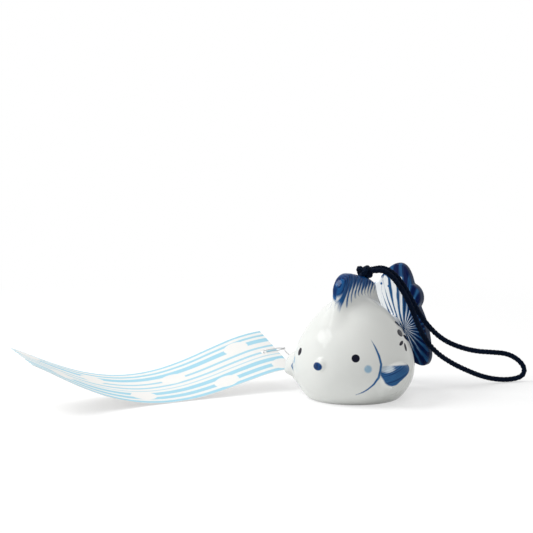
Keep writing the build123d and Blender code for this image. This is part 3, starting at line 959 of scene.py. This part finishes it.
def glazed_union(name, nodes, voxel, rounds):
    """The nodes' solids run together as one fired piece, with softened edges under the glaze."""
    joined = bmesh.new()
    for node in nodes:
        joined.from_mesh(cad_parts[node].data)
    bmesh.ops.remove_doubles(joined, verts=joined.verts, dist=0.00001)
    mesh = bpy.data.meshes.new(name)
    joined.to_mesh(mesh)
    joined.free()
    piece = bpy.data.objects.new(name, mesh)
    bpy.context.collection.objects.link(piece)
    run = piece.modifiers.new("run_together", "REMESH")
    run.mode = "VOXEL"
    run.voxel_size = voxel
    soften = piece.modifiers.new("glaze_softening", "SMOOTH")
    soften.factor = 0.5
    soften.iterations = rounds
    fired = plain_mesh(piece, name)
    piece.modifiers.clear()
    keep_largest(fired)
    fired.shade_smooth()
    piece.data = fired
    return piece


def keep_largest(mesh):
    """Drop loose crumbs, which only lie inside the wall."""
    whole = bmesh.new()
    whole.from_mesh(mesh)
    whole.verts.ensure_lookup_table()
    seen = set()
    groups = []
    for vertex in whole.verts:
        if vertex.index in seen:
            continue
        group, front = [], [vertex]
        seen.add(vertex.index)
        while front:
            current = front.pop()
            group.append(current)
            for edge in current.link_edges:
                other = edge.other_vert(current)
                if other.index not in seen:
                    seen.add(other.index)
                    front.append(other)
        groups.append(group)
    groups.sort(key=len)
    for group in groups[:-1]:
        bmesh.ops.delete(whole, geom=group, context="VERTS")
    whole.to_mesh(mesh)
    whole.free()


class BodySkin:
    """Finds the spot on the body's outside at a turn from the nose and a height."""

    def __init__(self, mesh):
        corners = [vertex.co for vertex in mesh.vertices]
        self.tree = BVHTree.FromPolygons(corners, [face.vertices for face in mesh.polygons])
        self.heights = np.linspace(*SKIN_HEIGHTS, SKIN_STEPS)
        self.reaches = np.array([np.hypot(*self.at(PLAIN_TURN, height)[:2]) for height in self.heights])

    def radius(self, heights):
        """The body's own radius at each height, away from its fins."""
        return np.interp(heights, self.heights, self.reaches)

    def at(self, turn, height):
        turn = math.radians(turn)
        out = Vector((math.sin(turn), -math.cos(turn), 0.0))
        hit = self.tree.ray_cast(out * CLEAR_OF_BODY + Vector((0, 0, height * MM)), -out)[0]
        return np.array(hit) / MM


def off_stroke(points, line, widths):
    """Distance outside a brush stroke along a line whose half width changes, in millimetres."""
    best = np.full(len(points), 99.0)
    for (start, end), (wide, narrow) in zip(zip(line, line[1:]), zip(widths, widths[1:])):
        run = end - start
        share = np.clip((points - start) @ run / (run @ run), 0.0, 1.0)
        near = start + share[:, None] * run
        best = np.minimum(best, np.linalg.norm(points - near, axis=1) - (wide + (narrow - wide) * share))
    return best


def off_dot(points, middle, radius):
    return np.linalg.norm(points - middle, axis=1) - radius


def unrolled(turn, height):
    """Turn and height as millimetres on the flank rolled out flat."""
    return np.stack((np.radians(turn) * FLANK, height), axis=-1)


def off_outline(spots, corners):
    """Distance outside a closed outline on the rolled-out flank, less than 0 inside it."""
    far = np.full(len(spots), 99.0)
    inside = np.zeros(len(spots), dtype=bool)
    for start, end in zip(corners, np.roll(corners, -1, axis=0)):
        run = end - start
        share = np.clip((spots - start) @ run / (run @ run), 0.0, 1.0)
        far = np.minimum(far, np.linalg.norm(spots - start - share[:, None] * run, axis=1))
        crosses = (start[1] > spots[:, 1]) != (end[1] > spots[:, 1])
        level = start[0] + (spots[:, 1] - start[1]) * run[0] / (run[1] if run[1] else 1.0)
        inside ^= crosses & (spots[:, 0] < level)
    return np.where(inside, -far, far)


def off_petal(spots, middle, tip, side):
    """Distance outside a leaning oval given by its middle, its tip and its side."""
    axes = np.stack((tip - middle, side - middle), axis=1)
    share = np.linalg.norm((spots - middle) @ np.linalg.inv(axes).T, axis=1)
    return (share - 1.0) * np.sqrt(abs(np.linalg.det(axes)))


def turns_of(points):
    """Each point's turn from the nose to either side, in degrees."""
    return np.degrees(np.arctan2(np.abs(points[:, 0]), -points[:, 1]))


def level(places, line):
    """Heights of a line at places along it."""
    return np.interp(places, *np.array(line).T)


def trim_side_fins(piece):
    """Sink the side pads into the flank outside the fin's own outline, and slope its underside to the lip."""
    mesh = piece.data
    skin = BodySkin(mesh)
    points = points_of(mesh)
    height = points[:, 2]
    reach = np.hypot(points[:, 0], points[:, 1])
    turn = turns_of(points)
    off = off_outline(unrolled(turn, height), np.array([unrolled(*spot) for spot in SIDE_FIN]))
    body = skin.radius(height)
    pad = (reach > body + 0.05) & (turn > 48.0) & (turn < 112.0) & (height < 30.0)
    keep = 1.0 - ramp(off, -0.6, 3.6)
    keep = SUNK_PAD + (1.0 - SUNK_PAD) * keep * keep * (3.0 - 2.0 * keep)
    new_reach = np.where(pad, body + (reach - body) * keep, reach)
    edge = level(turn, FIN_UNDER_EDGE)
    under = ramp(height, 0.0, edge) ** 1.6 * ramp(height, edge + 2.0, edge)
    under *= ramp(turn, 54.0, 62.0) * ramp(turn, 90.0, 64.0)
    lift = np.maximum(body + FIN_UNDER_LIFT * under - new_reach, 0.0) * ramp(under, 0.0, 0.2)
    new_reach += np.where(reach > body - 0.6, lift, 0.0)
    points[:, :2] *= (new_reach / np.maximum(reach, 0.001))[:, None]
    set_points(mesh, points)


def soften_fin_root(piece):
    """Melt the back fin into the forehead and back, and draw its rear edge in a little."""
    mesh = piece.data
    skin = BodySkin(mesh)
    points = points_of(mesh)
    height = points[:, 2]
    across = np.abs(points[:, 0])
    reach = np.hypot(points[:, 0], points[:, 1])
    body = skin.radius(height)
    proud = ramp(reach - body, 0.3, 3.3)
    rear = ramp(points[:, 1], 15.0, 20.0) * (height > 38.0) * (across < 8.0)
    points[:, 1] -= CREST_DRAWN_IN * rear * proud
    set_points(mesh, points)
    outside = (reach > body - 1.0) | (height > 54.5)
    share = ramp(height, 33.0, 39.0) * ramp(height, 58.0, 53.0)
    share *= ramp(across, 15.0, 11.0) * outside
    group = piece.vertex_groups.new(name="fin_root")
    for number in np.nonzero(share > 0.02)[0]:
        group.add([int(number)], float(share[number]), "REPLACE")
    soften = piece.modifiers.new("fin_root_softening", "SMOOTH")
    soften.factor = 0.5
    soften.iterations = FIN_ROOT_ROUNDS
    soften.vertex_group = "fin_root"
    melted = plain_mesh(piece, mesh.name)
    piece.modifiers.clear()
    piece.vertex_groups.clear()
    melted.shade_smooth()
    piece.data = melted


def brush_body(piece):
    """Store how far each point of the skin lies from each brush stroke."""
    mesh = piece.data
    skin = BodySkin(mesh)
    points = points_of(mesh)
    near = points.copy()
    near[:, 0] = np.abs(near[:, 0])
    turn = turns_of(points)
    spots = unrolled(turn, near[:, 2])
    reach = np.hypot(points[:, 0], points[:, 1])
    inner = np.where(reach < skin.radius(points[:, 2]) - 1.5, FAR_OFF, 0.0)
    navy = off_dot(near, skin.at(*EYE), EYE_RADIUS)
    for petal in PETALS:
        navy = np.minimum(navy, off_petal(spots, *(unrolled(*spot) for spot in petal)) + inner)
    set_numbers(mesh, "navy_dot", navy)
    facing = np.degrees(np.arctan2(points[:, 0], -points[:, 1]))
    mouth = off_petal(unrolled(facing, points[:, 2]), *(unrolled(*spot) for spot in MOUTH))
    set_numbers(mesh, "mouth_dot", mouth + inner)
    set_numbers(mesh, "cheek_dot", off_dot(near, skin.at(*CHEEK), CHEEK_RADIUS))
    set_numbers(mesh, "gill_stroke", off_stroke(near, [skin.at(*spot) for spot in GILL], GILL_HALF))
    brush_side_fins(mesh, points, inner)
    brush_crest(mesh, points)


def brush_side_fins(mesh, points, inner):
    """Side fins: distance outside their outline, the row of the strokes, and the bare front."""
    turn = turns_of(points)
    height = points[:, 2]
    side = off_outline(unrolled(turn, height), np.array([unrolled(*spot) for spot in SIDE_FIN]))
    far_side = np.where(points[:, 0] < 0.0, (79.0 - turn) * 0.4, -FAR_OFF)
    set_numbers(mesh, "side_fin", np.maximum(side, far_side) + inner)
    set_numbers(mesh, "side_fin_row", height - (turn - 75.0) * 0.22)
    set_numbers(mesh, "side_fin_bare", np.hypot((turn - 62.5) / 6.0, (height - 21.0) / 2.2) - 1.0)


def brush_crest(mesh, points):
    """Back fin: share of the painted height, place along the leaning strokes, and where the ink thins out."""
    across, along, height = np.abs(points[:, 0]), points[:, 1], points[:, 2]
    low = level(along, CREST_LOW)
    high = (height - low) / np.maximum(level(along, CREST_TOP) - low, LEAST_CREST)
    high -= 0.7 * ramp(across, 4.8, 7.2) * (height < 57.0)
    high = np.where((height > 46.0) & (across < 7.5), high, -1.0)
    set_numbers(mesh, "crest_height", high)
    lean = along - (height - 55.0) * CREST_LEAN + np.sign(points[:, 0]) * 60.0
    set_numbers(mesh, "crest_along", lean)
    front = ramp(along, -6.0, -13.0)
    rear = ramp(along, 8.0, 18.0)
    set_numbers(mesh, "crest_bare", 0.13 - 0.27 * front + 0.1 * rear)


def shape_tail(piece):
    """Draw the lower lobes in a little and square their outer corners."""
    mesh = piece.data
    points = points_of(mesh)
    side, across, up = np.sign(points[:, 0]), np.abs(points[:, 0]), points[:, 2]
    fan = points[:, 1] > FAN_START
    drawn = 1.3 * ramp(up, 34.0, 20.0) * ramp(across, 8.0, 16.0)
    corner = np.exp(-((across - TAIL_CORNER[0]) ** 2 + (up - TAIL_CORNER[1]) ** 2) / 18.0)
    points[:, 0] -= side * np.where(fan, drawn - 1.5 * corner, 0.0)
    points[:, 2] += np.where(fan, ramp(up, 18.0, 12.0) - 1.1 * corner, 0.0)
    set_points(mesh, points)


def fan_strokes(off, up):
    """Turn about the root of a fan of strokes, and reach as a share of the way to the edge."""
    turn = np.arctan2(off, up)
    reach = np.hypot(off, up)
    slices = np.linspace(-math.pi, math.pi, FAN_SLICES + 1)
    slot = np.clip(np.digitize(turn, slices) - 1, 0, FAN_SLICES - 1)
    far = np.full(FAN_SLICES, EMPTY_SLICE_REACH)
    for number in np.unique(slot):
        far[number] = reach[slot == number].max()
    return turn, reach / np.interp(turn, (slices[:-1] + slices[1:]) / 2, far)


def front_cover(across, up, off, share):
    """How much ink covers the tail's front: heavy on one side, low down and along the top, and pale between,
    where the far half is thinned as a painted reflection.
    """
    cover = 0.52 + 0.6 * ramp(across, 3.5, 8.5) + 0.4 * ramp(up, 2.0, -6.0)
    cover += 0.35 * ramp(across, -12.0, -16.0)
    # Painted reflection: less ink on the far half's upper part, as if glare from the lamp lay over its
    # strokes
    pale = ramp(across, -2.0, -6.0) * ramp(up, 4.0, 9.0)
    cover -= 0.42 * pale * ramp(across, -16.0, -10.0)
    cover = np.maximum(cover, FULL_COVER * ramp(up, 26.0, 28.5))
    thinning = np.where(off > 0.0, 0.42, 0.15) * ramp(share, 0.85, 0.25)
    return np.minimum(cover, FULL_COVER) - thinning * (across > -TAIL_STROKE_ROOT)


def brush_tail(piece):
    """Store each point's turn about the strokes' root, its reach to the edge and how much ink covers it."""
    mesh = piece.data
    points = points_of(mesh)
    across, up = points[:, 0], points[:, 2] - TAIL_ROOT
    fan = points[:, 1] > FAN_START
    behind = points[:, 1] > TAIL_PLACE + 0.4
    off = np.where(across > -TAIL_STROKE_ROOT, across, -across) - TAIL_STROKE_ROOT
    turn, share = fan_strokes(off, up)
    back_turn, back_share = fan_strokes(np.abs(across), up + BACK_ROOT_DROP)
    sweep = np.where(turn < 0.0, turn * (0.45 + 0.95 * share), turn)
    set_numbers(mesh, "fan_sweep", np.where(behind, back_turn, sweep))
    set_numbers(mesh, "fan_reach", np.where(fan, np.where(behind, back_share, share), 0.0))
    normals = np.empty(len(points) * 3, dtype=np.float32)
    mesh.vertices.foreach_get("normal", normals)
    flat = np.abs(normals.reshape(-1, 3)[:, 1])
    set_numbers(mesh, "fan_rim", np.where(fan & (share > 0.75), 1.0 - flat, 0.0))
    back_cover = 0.45 + 0.6 * ramp(back_share, 0.2, 0.8)
    cover = np.where(behind, back_cover, front_cover(across, up, off, share))
    stalk = ramp(points[:, 1], STALK_BARE[0], STALK_BARE[1])
    set_numbers(mesh, "fan_cover", cover - 2.0 * stalk)
    dots = [off_dot(points[:, [0, 2]], np.array(spot), TAIL_DOT_RADIUS) for spot in TAIL_DOTS]
    set_numbers(mesh, "fan_dot", np.minimum(*dots) + np.where(fan & ~behind, 0.0, FAR_OFF))


def make_body():
    """Shell, back fin and side fins as one glazed and painted piece."""
    nodes = ["bell_shell", "dorsal_fin", "left_pectoral_fin", "right_pectoral_fin"]
    body = glazed_union("fish_body", nodes, BODY_VOXEL, BODY_ROUNDS)
    soften_fin_root(body)
    trim_side_fins(body)
    brush_body(body)
    paint(body, painted_porcelain())
    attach(body, "bell")
    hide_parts(*nodes)


def make_tail():
    """Glazed and painted tail fan on its stalk."""
    tail = glazed_union("fish_tail", ["tail_fin"], TAIL_VOXEL, TAIL_ROUNDS)
    shape_tail(tail)
    brush_tail(tail)
    paint(tail, tail_porcelain())
    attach(tail, "bell")
    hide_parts("tail_fin")


set_camera()
set_room()
set_table()
make_cord()
pale_thread = dyed_yarn("pale_thread", *PALE_YARN)
make_clapper_thread(pale_thread)
make_strip_thread(pale_thread)
make_strip(pale_thread)
make_body()
make_tail()
paint(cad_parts["clapper"], bead_porcelain())
